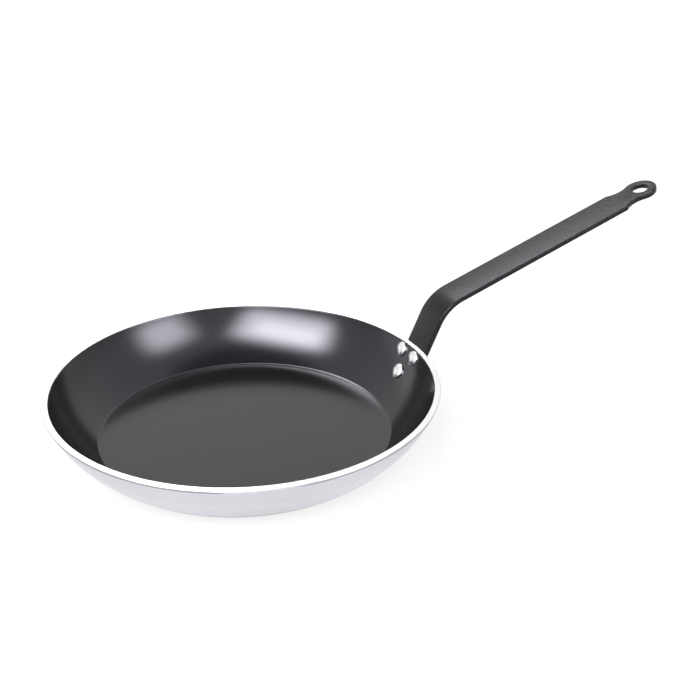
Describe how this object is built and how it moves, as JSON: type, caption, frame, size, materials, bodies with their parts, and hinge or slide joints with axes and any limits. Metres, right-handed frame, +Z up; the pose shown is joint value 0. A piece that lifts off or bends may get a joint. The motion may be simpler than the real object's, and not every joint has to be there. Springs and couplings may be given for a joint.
{
  "type": "omelette pan",
  "caption": "Round shallow pan with curved flaring wall, non-stick inner face and a long raised strip handle riveted on, ending in a hanging eye.",
  "frame": {"origin": "centre of the pan's underside, on the plane that it stands on", "axes": "+Z up along the pan's axis, +X towards the handle, +Y to the left of the handle seen from the pan"},
  "size_m": [0.494, 0.28, 0.1423],
  "materials": {
    "aluminium": "fine turned satin, bare",
    "nonstick": "semi-matte non-stick coating",
    "black_paint": "satin black coating, fine mottle",
    "rivet_metal": "polished"
  },
  "bodies": {
    "root": {"pan_body": "aluminium", "nonstick_coating": "nonstick", "handle": "black_paint", "rivet_upper_left": "rivet_metal", "rivet_upper_right": "rivet_metal", "rivet_lower": "rivet_metal"}
  },
  "joints": []
}
